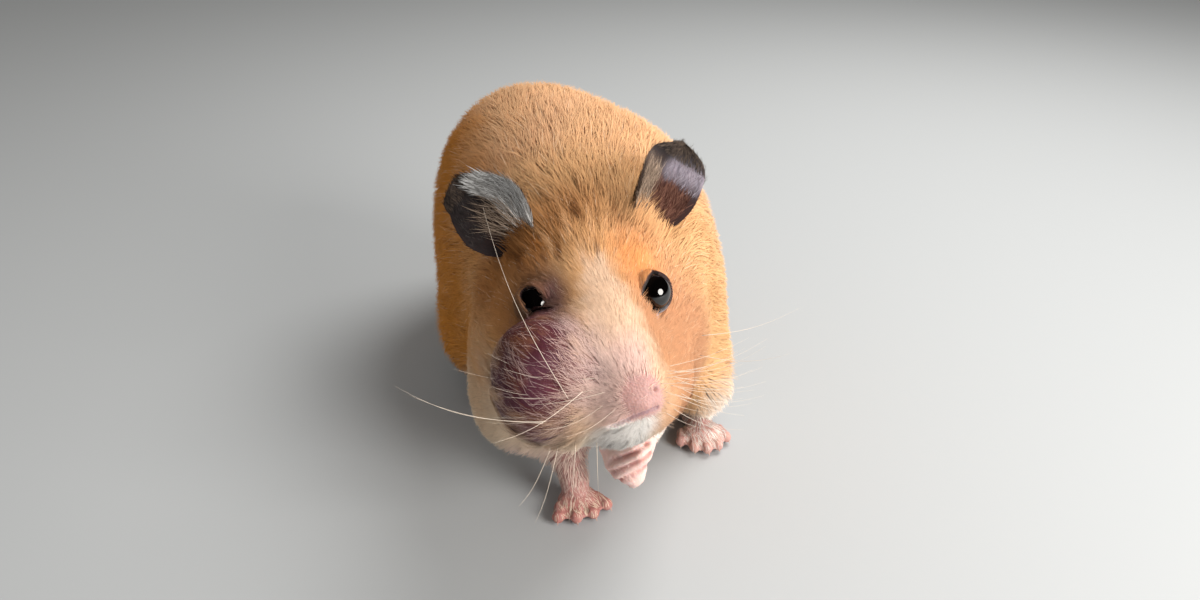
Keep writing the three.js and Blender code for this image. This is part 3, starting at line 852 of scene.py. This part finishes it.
for side in SIDES:
    bare_rim = step(*RIMS[side], eye_opening(middles, side)) + (gap(middles, EYES[side]) > 6)
    thick = thick * bare_rim.clip(0, 1)
thick = thick * (distance_to(TAIL, middles) > 0.6)
thick = thick * (middles[:, 2] > 0.3)
root, normal, uv = rooted(thick)

TUFT = 9  # hairs to a tuft
heads = random.choice(len(root), len(root) // TUFT, replace=False)
tree = KDTree(len(heads))
for i, place in enumerate(root[heads].tolist()):
    tree.insert(place, i)
tree.balance()
tuft = np.array([tree.find(place)[1] for place in root.tolist()])
tuft_root = root[heads][tuft]


def per_hair(low, high):
    return random.uniform(low, high, len(root))


def per_tuft(low, high):
    return random.uniform(low, high, len(heads))[tuft]


q = to_head(root)
fine = fineness(q)
to_feet = distance_to(ALL_FEET, root)
to_swelling = distance_to(SWELLING, root)
bald = swollen(root, to_swelling)
depth = coat_depth(root, to_feet, distance_to(TAIL, root), to_swelling)
below = fade(-15, -9, q[:, 2]) + fade(-18, -14, q[:, 0]) * fade(-4, 2, q[:, 2])
fringe = fade(2.0, 5.5, to_swelling) * (1 - bald) * np.minimum(below, 1)
depth = depth + 1.3 * fringe
length = (1.5 + 2.3 * depth) * per_tuft(0.85, 1.15)
length = length * per_hair(0.85, 1.12)
on_crown = bell((q[:, 1] - 11) / 8) * step(-4, 4, q[:, 2])
length = length * (1 + 0.6 * on_crown)
length = length * (1 - bald) + bald * per_hair(2.5, 7.0)
length = length * (0.45 + 0.55 * step(2, 8, gap(root, NOSE_TIP)))
on_leg = on_foreleg(root)
length = length * (1 - 0.6 * on_leg)
length = np.where(to_feet < 0.8, np.minimum(length, 1.5), length)
ahead = root + flattened(lie_of_coat(root), normal) * (0.75 * length)[:, None]
over_swelling = swollen(ahead, distance_to(SWELLING, ahead, 10)) * (1 - bald)
over_eye = (eye_opening(ahead, "left") < 0.85) | (eye_opening(ahead, "right") < 1.0)
length = length * (1 - 0.55 * over_swelling) * np.where(over_eye, 0.35, 1)
lift = per_tuft(0.9, 1.08) * per_hair(0.8, 1.08)
lift = lift * (1 - 0.3 * fine) * (1 - 0.3 * bald)
on_chin = fade(-16, -13.5, q[:, 2]) * fade(-6, 0, q[:, 1]) * (1 - bald)
length = length * (1 + 0.8 * on_chin)
lift = lift * (1 + 1.6 * on_chin * per_tuft(0.2, 1))
lift = lift * (1 + 0.5 * on_crown * per_tuft(0, 1))
on_lid = bell((gap(root, EYES["right"]) - 4.2) / 1.3)
lift = lift * (1 + 1.2 * on_lid)


def strand(root, normal, length, height, sway):
    """The middle and tip of each hair, held off the skin by its height there."""
    way = flattened(lie_of_coat(root), normal)
    across = np.cross(normal, way)
    way = unit(way + across * sway[:, None])
    halfway, halfway_normal, _ = nearest(SKIN_TREE, root + way * (length / 2)[:, None])
    onward = flattened(lie_of_coat(halfway) + 0.6 * way, halfway_normal)
    across = np.cross(halfway_normal, onward)
    onward = unit(onward + across * (1.3 * sway)[:, None])
    end, end_normal, _ = nearest(SKIN_TREE, halfway + onward * (length / 2)[:, None])
    halfway = halfway + halfway_normal * (0.68 * height)[:, None]
    end = end + end_normal * height[:, None]
    return halfway, end, halfway_normal, end_normal


sway = random.normal(0, 0.1, len(heads))[tuft] + random.normal(0, 0.07, len(root))
sway = sway * (1 + 2 * bald)
halfway, end, halfway_normal, end_normal = strand(root, normal, length, depth * lift, sway)
gather = (0.35 * (1 - bald))[:, None] * (tuft_root - root)
halfway = halfway + 0.4 * gather
end = end + gather

# Each hair is a little darker at its foot, painted shade for the shadow deep in the coat; some are pale, a
# few dark.
tint = markings(0.45 * root + 0.55 * end)
tint = tint * per_tuft(0.94, 1.05)[:, None]
tint = tint * per_hair(0.92, 1.06)[:, None]
dark = (per_hair(0, 1) < 0.03) & (fine < 0.6)
tint = np.where(dark[:, None], tint * 0.85, tint)
tint = tint * (1 - 0.25 * on_chin * per_tuft(0, 1))[:, None]
tint = blend(tint, "D8BDB4", 0.8 * on_leg)
tint = blend(tint, "F0DCC4", 0.35 * (per_hair(0, 1) < 0.03))
dark_share = (0.6 + 0.3 * step(-5, 1, q[:, 2])) * (1 - 0.75 * step(-8, -4.5, q[:, 0]))
thin_hair = blend(srgb("C8ABA8"), "5A2C3A", per_hair(0, 1) < dark_share)
tint = layered(tint, [(thin_hair, bald), ("F2DDC4", 0.6 * fringe)])
# painted shade: the foot of each hair darker than its tip
shaded_root_tint = tint * (0.8 + 0.12 * fine)[:, None]
BACK_WIDTH, FACE_FINER, SWELLING_WIDTH, FOOT_WIDTH = 0.19, 0.115, 0.055, 0.08
width = (BACK_WIDTH - FACE_FINER * fine) * (1 - bald) + SWELLING_WIDTH * bald
width = np.where(to_feet < 0.8, FOOT_WIDTH, width) * per_hair(0.8, 1.2)

# the coat's regions, from the nose back
y, row_y = q[:, 1], root[:, 1]
REGIONS = [("muzzle", y < -10), ("cheek", y < -2), ("brow", y < 5), ("crown", y < 13), ("nape", y < 22)]
REGIONS += [("shoulder", row_y < 32), ("flank", row_y < 50), ("haunch", row_y < 64), ("rump", row_y < 999)]
region = np.select([inside for _, inside in REGIONS], np.arange(len(REGIONS)))
left = q[:, 0] > 1
for number, (label, _) in enumerate(REGIONS):
    for side, chosen in (("left", left), ("right", ~left)):
        here = np.flatnonzero((region == number) & chosen)
        ribbons(
            "coat_" + label + "_" + side, (root[here], halfway[here], end[here]),
            (normal[here], end_normal[here]), width[here], (shaded_root_tint[here], tint[here]),
            uv[here],
        )

# ---- Ears ----
# Thin dark shells of skin, rolled to a funnel at the foot and spread at the rim, their inner margin folded
# forward. Silver hair grows up the fold, and short smoky hair over the back.
EAR_SINK = 3
EAR_LENGTH = {"left": 14.4, "right": 14.0}
EAR_FEET = {"left": (12.8, 15, 8.5), "right": (-11, 14.6, 6.4)}
EAR_RISE = {"left": (6.8, 2.2, 10.7), "right": (-8.6, 3.5, 7.9)}
EAR_FACES = {"left": (0.3, -0.95, 0), "right": (-0.3, -0.95, 0)}
EAR_WIDTH = {"left": 15.5, "right": 15.0}
EAR_ROLL = {"left": (4, 14), "right": (4.5, 14)}  # the roll's radius at the foot and at the rim
# how full each margin is, for each height up the ear: towards the crown, and away from it
EAR_INNER = {
    "left": [(0, 0.85), (0.08, 0.87), (0.25, 1.14), (0.45, 1.2), (0.65, 1.15), (0.8, 0.95), (0.94, 0.6),
             (1, 0.5)],
    "right": [(0, 1.1), (0.25, 1.27), (0.42, 1.31), (0.55, 1.13), (0.68, 0.87), (0.8, 0.67), (0.93, 0.6),
              (1, 0.8)],
}
EAR_OUTER = {
    "left": [(0, 0.86), (0.25, 0.94), (0.45, 0.96), (0.6, 0.95), (0.75, 0.99), (0.88, 1.1), (1, 1.2)],
    "right": [(0, 0.85), (0.25, 0.97), (0.45, 0.98), (0.65, 0.88), (0.82, 0.8), (1, 1.1)],
}
MIDWARD = {"left": 1, "right": -1}  # which way across the ear is towards the crown


def ear_point(side, across, up, outward):
    """A place on the ear: across from -1 to 1, up from 0 to 1, outward 1 on its back and 0 inside it."""
    rise = unit(np.array(EAR_RISE[side], float))
    over = unit(np.cross(EAR_FACES[side], rise))
    facing = np.cross(rise, over)
    inner, outer = np.array(EAR_INNER[side]), np.array(EAR_OUTER[side])
    inner_edge = np.interp(up, inner[:, 0], inner[:, 1])
    outer_edge = np.interp(up, outer[:, 0], outer[:, 1])
    full = np.clip(1 - (2 * up - 1) ** 2, 0, 1) ** 0.45
    width = across * full * np.where(across * MIDWARD[side] > 0, inner_edge, outer_edge)
    low, high = EAR_ROLL[side]
    roll = low + (high - low) * np.sqrt(up)
    turn = width * EAR_WIDTH[side] / 2 * (0.8 + 0.26 * up) / roll
    fold = step(0.5, 1.05, across * MIDWARD[side]) * step(0.12, 0.4, up) * fade(0.75, 1.0, up)
    turn = turn + MIDWARD[side] * 0.1 * fold
    thick = 0.18 + 0.5 * (1 - up) * (1 - across**2)
    crease = 0.16 * np.sin(9 * across + 3 * up) * fade(0.3, 0.7, up)
    radius = roll + (outward - 0.5) * 2 * thick * np.sqrt(np.clip(1.02 - across**2, 0, 1)) + crease
    back = 1.4 * up**2 + 0.25 * np.sin(5 * across + 2.0) * up
    along = up * (EAR_LENGTH[side] + EAR_SINK) - EAR_SINK
    local = (radius * np.sin(turn))[:, None] * over
    local = local + (roll - radius * np.cos(turn) - back)[:, None] * facing + along[:, None] * rise
    return from_head(local + np.array(EAR_FEET[side], float))


def ear_colours(side, across, up, outward):
    """Charcoal at the rim, red-brown in the depth, smoky outside and flesh-coloured at the foot."""
    mid = across * MIDWARD[side]
    if side == "left":
        # a pale lilac band across the inner skin: partly the skin's own colour and partly painted sheen
        band = bell((up - 0.71 + 0.05 * mid) / 0.11) * fade(-0.1, 0.5, mid)
        layers = [
            ("6E5248", fade(0.42, 0.6, up) * fade(0.5, 0.9, -mid)),
            ("66564E", step(0.3, 0.7, mid) * fade(0.6, 0.8, up)),
            ("151212", step(0.78, 0.86, up)),
            ("958D99", band),
            ("4E2A22", 0.9 * np.exp(-(((mid + 0.3) / 0.55) ** 2) - ((up - 0.38) / 0.24) ** 2)),
        ]
    else:
        layers = [
            ("3A211C", 0.8 * np.exp(-((mid / 0.5) ** 2) - ((up - 0.3) / 0.22) ** 2)),
            ("3E3A3A", step(0.3, 0.6, mid) * step(0.1, 0.3, up) * fade(0.85, 1, up)),
        ]
    inner = layered(srgb("2B2526"), layers)
    outer = blend(srgb("4A4140"), "8A6A50", fade(0.1, 0.5, up))
    return np.where((outward > 0.5)[:, None], outer, inner)


def ear_shell(side):
    wide, tall = 44, 40
    across_line = np.sin(np.linspace(-math.pi / 2, math.pi / 2, wide))
    up_line = (1 - np.cos(np.linspace(0.03, math.pi - 0.03, tall))) / 2
    across, up = (grid.ravel() for grid in np.meshgrid(across_line, up_line))
    outward = np.concatenate([np.zeros(len(across)), np.ones(len(across))])
    across, up = np.tile(across, 2), np.tile(up, 2)
    faces = []
    back = wide * tall
    for quad in grid_faces(tall, wide, False):
        faces += [quad, tuple(back + corner for corner in reversed(quad))]
    ring = list(range(wide)) + [row * wide + wide - 1 for row in range(1, tall)]
    ring += [(tall - 1) * wide + column for column in range(wide - 2, -1, -1)]
    ring += [row * wide for row in range(tall - 2, 0, -1)]
    faces += [(b, a, back + a, back + b) for a, b in zip(ring, ring[1:] + ring[:1])]
    corners = ear_point(side, across, up, outward)
    return closed_piece("ear_shell_" + side, corners, faces, ear_colours(side, across, up, outward))


def ear_hair(side, label, count, reach, length, height, girth, colours, outward, stray):
    """Hairs on one face of an ear, lying towards its rim. The reach is across and up, then crowding."""
    across = reach[1] - (reach[1] - reach[0]) * random.random(count) ** reach[4]
    across = across * MIDWARD[side]
    up = random.uniform(reach[2], reach[3], count)
    face = np.full(count, float(outward))
    root = ear_point(side, across, up, face)
    higher = ear_point(side, across, np.minimum(up + 0.02, 1), face)
    wider = ear_point(side, np.minimum(across + 0.02, 1), up, face)
    way = unit(higher - root)
    normal = unit(np.cross(wider - root, higher - root))
    inside = ear_point(side, across, up, 1 - face)
    normal = normal * np.sign(np.sum(normal * (root - inside), 1, keepdims=True))
    lean = flattened(wider - root, normal) * MIDWARD[side]
    way = unit(way + lean * (stray[0] + random.normal(0, stray[1], count))[:, None])
    long = length * random.uniform(0.6, 1.15, count)
    end = root + way * long[:, None] + normal * (height * random.uniform(0.5, 1.3, count))[:, None]
    halfway = root + way * (0.5 * long)[:, None] + normal * (0.8 * height)
    dark, pale = (srgb(code) for code in colours)
    tint = dark + (pale - dark) * random.random((count, 1)) ** 1.5
    uv = np.stack([across * 0.24 + (0.25 if outward else 0.75), up], 1)
    # painted shade: the foot of each hair darker than its tip
    ribbons(
        "ear_hair_" + label + "_" + side, (root, halfway, end), (normal, normal),
        girth * random.uniform(0.7, 1.2, count), (tint * 0.7, tint), uv,
    )


ear_finish = living("ear_skin", 0.8, 0.08, 2400, 0.05, sheen=0.05, subsurface=0.1)
random = np.random.default_rng(SEED + 1)
DARK = ("1E1A1A", "55504F")
LILAC = ("6A626E", "B8B0BC")
RUSSET = ("3E221B", "8A6152")
# silver hair: pale in itself, and painted brighter still for the light shining through the ear and the
# highlights on it
SILVER = ("8C8A88", "FFFFFF")
SMOKY = ("2E2827", "6A5B50")
GREYISH = ("5E4E44", "D2BAA4")
for side in SIDES:
    shell = linked("ear_shell_" + side, ear_shell(side))
    shell.data.materials.append(ear_finish)
    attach(shell, "root")
    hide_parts("ear_" + side)
    ear_hair(side, "back", 5000, (-0.98, 0.98, 0.05, 0.97, 1), 1.6, 0.25, 0.09, SMOKY, True, (0, 0.3))
    ear_hair(side, "rim", 900, (-0.99, 0.99, 0.8, 0.99, 1), 0.9, 0.15, 0.06, SMOKY, False, (0, 0.3))
INNER_HAIR = [
    ("right", "fold", 850, (0.3, 0.99, 0.1, 0.8, 1.6), 4.2, 0.5, 0.12, SILVER, (-0.05, 0.2)),
    ("right", "wisps", 160, (-0.1, 0.5, 0.1, 0.5, 1), 5.5, 1.6, 0.06, GREYISH, (-0.3, 0.3)),
    ("right", "down", 700, (-0.9, 0.4, 0.35, 0.9, 1), 1.0, 0.12, 0.05, DARK, (0, 0.4)),
    ("left", "fold", 800, (0.35, 0.99, 0.05, 0.55, 1.2), 3.6, 0.7, 0.07, GREYISH, (0.35, 0.3)),
    ("left", "band", 350, (-0.95, 0.2, 0.55, 0.76, 1), 1.4, 0.2, 0.05, LILAC, (-0.2, 0.3)),
    ("left", "depth", 700, (-0.8, 0.5, 0.12, 0.52, 1), 2.4, 0.3, 0.08, RUSSET, (0.1, 0.3)),
]
for side, label, count, reach, length, height, girth, colours, stray in INNER_HAIR:
    ear_hair(side, label, count, reach, length, height, girth, colours, False, stray)

# The coat rises over the foot of each ear, on the side of the crown.
EAR_SKIRTS = {"left": [(8.8, 12.8, 8), (12.0, 11.6, 6.6)], "right": [(-6.2, 13.5, 6.6), (-8.8, 12.2, 4.6)]}
SKIRT_REACH, SKIRT_EDGE, SKIRT_HAIRS = 1.8, 1.8, 45
for side in SIDES:
    low, high = (np.array(place, float) for place in EAR_SKIRTS[side])
    q = to_head(SKIN_MIDDLES)
    near = np.linalg.norm(q - low - along(q, low, high) * (high - low), axis=1) / SKIRT_REACH
    root, normal, uv = rooted(SKIRT_HAIRS * bell(near) * (near < SKIRT_EDGE))
    rise = unit(np.array(EAR_RISE[side], float))
    way = unit(rise + (-0.1 * MIDWARD[side], -0.12, 0) + random.normal(0, 0.13, root.shape)) @ HEAD_AXES.T
    long = random.uniform(3.5, 8.0, len(root))[:, None] * (1 - 0.35 * along(to_head(root), low, high))
    halfway = root + way * long * 0.5 + normal * 0.4
    end = root + way * long
    tint = markings(root) * random.uniform(0.85, 1.08, (len(root), 1))
    # painted shade: the foot of each hair a little darker than its tip
    ribbons(
        "coat_ear_foot_" + side, (root, halfway, end), (normal, normal), random.uniform(0.06, 0.1, len(root)),
        (tint * 0.9, tint), uv,
    )

# ---- Claws ----
# Small curved horn cones, one where each toe comes to a point. Each grows out of the toe's skin, so its
# root lies a little under it.
CLAW_LENGTH, CLAW_RADIUS = 0.7, 0.15


def toe_ends(node):
    """The point of each toe on a solid foot, and the way it points."""
    solid = welded(node)
    ends = []
    for vert in solid.verts:
        around = sum(loop.calc_angle() for loop in vert.link_loops)
        if around < 2.6:
            neighbours = [edge.other_vert(vert).co for edge in vert.link_edges]
            ring = sum(neighbours, Vector()) / len(neighbours)
            ends.append((from_row(np.array(vert.co)), unit(np.array(vert.co - ring))))
    solid.free()
    return ends


def rod(line, widths, spokes, over, down):
    """The corners and faces of a round rod along a bent line."""
    corners = []
    for at, radius in zip(line, widths):
        for spoke in range(spokes):
            turn = 2 * math.pi * spoke / spokes
            corners.append(at + radius * (over * math.cos(turn) + down * math.sin(turn)))
    faces = [tuple(reversed(range(spokes))), tuple(range((len(line) - 1) * spokes, len(line) * spokes))]
    return corners, faces + grid_faces(len(line), spokes, True)


def joined_rods(name, rods, colour, finish):
    corners, faces = [], []
    for rod_corners, rod_faces in rods:
        faces += [tuple(corner + len(corners) for corner in face) for face in rod_faces]
        corners += rod_corners
    corners = np.maximum(np.array(corners), (-999, -999, 0.02))  # no lower than the floor
    made = linked(name, closed_piece(name, corners, faces, np.tile(srgb(colour), (len(corners), 1))))
    made.data.materials.append(finish)
    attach(made, "root")


claw_finish = living("claw_horn", 0.3, 0.5, 3000, 0, subsurface=0.3)
for node in FEET:
    claws = []
    for end, way in toe_ends(node):
        down = np.array([0, 0, -1.0])
        down = unit(down - way * (down @ way))
        shares = np.linspace(0, 1, 7)
        tip = nearest(SKIN_TREE, end[None])[0][0]
        line = [tip + way * (CLAW_LENGTH * t - 0.25) + down * 0.35 * t * t for t in shares]
        claws.append(rod(line, CLAW_RADIUS * (1 - shares) ** 0.7 + 0.012, 8, np.cross(way, down), down))
    joined_rods("claws_" + node, claws, "C49C90", claw_finish)

# ---- Whiskers ----
# Long stiff hairs from pads beside the nose, with a few on the cheeks and under the chin, each a tapering
# rod rooted in the skin. The longest are placed one by one: root and tip in the head's frame, and the bow.
LONG_WHISKERS = [
    ((-7.8, -18.4, -7.7), (-18.0, -16.3, 20.9), 1.2),
    ((-11.1, -18.0, -11.3), (-31.5, -15.4, -4.0), 1.6),
    ((-11.4, -17.8, -11.6), (-29.8, -16.6, -5.2), 1.0),
    ((-5.6, -18.0, -7.0), (-19.6, -28.2, -7.3), 1.0),
    ((-9.8, -14.3, -17.9), (-16.3, -26.3, -18.9), 1.0),
    ((-8.8, -14.6, -17.8), (-14.3, -27.6, -21.0), 1.2),
    ((-6.2, -15.6, -16.4), (-9.4, -26.9, -22.3), 1.2),
    ((-3.2, -16.6, -16.6), (-4.5, -24.0, -20.5), 1.0),
    ((18.6, 0.4, -8.5), (37.0, 2.6, -5.5), 1.0),
    ((18.0, -1.0, -11.5), (31.7, -6.3, -9.6), 1.0),
]
PAD_ROWS, PAD_PLACES = 4, 5


def whisker(start, end, bow, thick):
    way = end - start
    over = unit(np.cross(way, (0.0, 0.0, 1.0)) + 1e-6)
    sag = np.cross(unit(way), over)
    shares = np.linspace(0, 1, 14)
    line = [start + way * t + sag * bow * math.sin(math.pi * t * 0.9) * 1.6 for t in shares]
    return rod(line, thick * (1 - shares) + 0.01, 4, over, sag)


random = np.random.default_rng(SEED + 2)
hairs = [whisker(from_head(a), from_head(b), bow, 0.05) for a, b, bow in LONG_WHISKERS]
for side, lean in (("left", 1), ("right", -1)):
    for row in range(PAD_ROWS):
        for place in range(PAD_PLACES):
            if side == "right" and (row + place < 2 or row == 3):
                continue
            start = np.array([2.8 + lean * (3.2 + 0.8 * place), -18.6 + 1.5 * place, -6.6 - 1.4 * row])
            way = unit(np.array([lean * (0.95 + 0.1 * place), -0.28 + 0.16 * place, 0.28 - 0.22 * row]))
            way = unit(way + random.normal(0, 0.08, 3))
            reach = (8 + 2.6 * place) * random.uniform(0.85, 1.15)
            start = nearest(SKIN_TREE, from_head(start)[None])[0][0]
            end = start + (way @ HEAD_AXES.T) * reach
            hairs.append(whisker(start, end, 0.08 * reach * random.uniform(0.4, 1.2), 0.035))
whisker_finish = living("whisker_hair", 0.35, 0.4, 3000, 0)
joined_rods("whiskers", hairs, "D9CBBC", whisker_finish)

# ---- Floor, lights and camera ----
# A pale sweep of floor in a soft studio, with the window close by on the animal's left, and a camera that
# looks down at its face. None of it is part of the animal.
floor_mesh = bpy.data.meshes.new("floor")
floor_mesh.from_pydata([(-3, -3, 0), (3, -3, 0), (3, 3, 0), (-3, 3, 0)], [], [(0, 1, 2, 3)])
floor = linked("floor", floor_mesh)
floor_finish = bpy.data.materials.new("floor")
floor_finish.use_nodes = True
floor_shader = floor_finish.node_tree.nodes["Principled BSDF"]
floor_shader.inputs["Base Color"].default_value = (0.44, 0.46, 0.48, 1)
floor_shader.inputs["Roughness"].default_value = 0.8
floor_mesh.materials.append(floor_finish)

world = bpy.data.worlds.new("studio")
world.use_nodes = True
sky = world.node_tree.nodes["Background"]
sky.inputs["Color"].default_value = (0.9, 0.87, 0.82, 1)
sky.inputs["Strength"].default_value = 0.42
world.cycles_visibility.glossy = False
bpy.context.scene.world = world
bpy.context.scene.view_settings.view_transform = "Standard"


def soft_light(name, place, aim, size, watts, colour):
    lamp = bpy.data.lights.new(name, "AREA")
    lamp.shape = "DISK"
    lamp.size = size
    lamp.energy = watts
    lamp.color = colour
    light = linked(name, lamp)
    light.location = place
    light.rotation_euler = (Vector(aim) - Vector(place)).to_track_quat("-Z", "Y").to_euler()
    return light


BODY_MIDDLE = (0, 0, 0.03)
soft_light("window", (0.24, -0.27, 0.17), BODY_MIDDLE, 0.22, 1.75, (1, 0.96, 0.9))
ceiling = soft_light("ceiling", (0.22, 0.12, 0.38), BODY_MIDDLE, 0.3, 1.9, (1, 0.97, 0.92))
ceiling.visible_glossy = False

FOCAL_PIXELS = 857
WIDTH, HEIGHT = 1200, 600
CAMERA_AZIMUTH, CAMERA_ELEVATION = -8, 30
CAMERA_DISTANCE = 138
AIM_PIXEL = (595, 298)  # where the middle of the eyes shows


turn, rise = math.radians(CAMERA_AZIMUTH), math.radians(CAMERA_ELEVATION)
back = np.array([math.sin(turn) * math.cos(rise), -math.cos(turn) * math.cos(rise), math.sin(rise)])
right = np.array([math.cos(turn), math.sin(turn), 0])
up = np.cross(back, right)
camera_at = HEAD_AT + back * CAMERA_DISTANCE
off_right, off_down = WIDTH / 2 - AIM_PIXEL[0], HEIGHT / 2 - AIM_PIXEL[1]
sight = -back + right * off_right / FOCAL_PIXELS - up * off_down / FOCAL_PIXELS
lens = bpy.data.cameras.new("camera")
lens.lens = FOCAL_PIXELS / WIDTH * lens.sensor_width
lens.clip_start = 0.01
camera = linked("camera", lens)
camera.location = to_row(camera_at)
camera.rotation_euler = Vector(sight).to_track_quat("-Z", "Y").to_euler()
bpy.context.scene.camera = camera
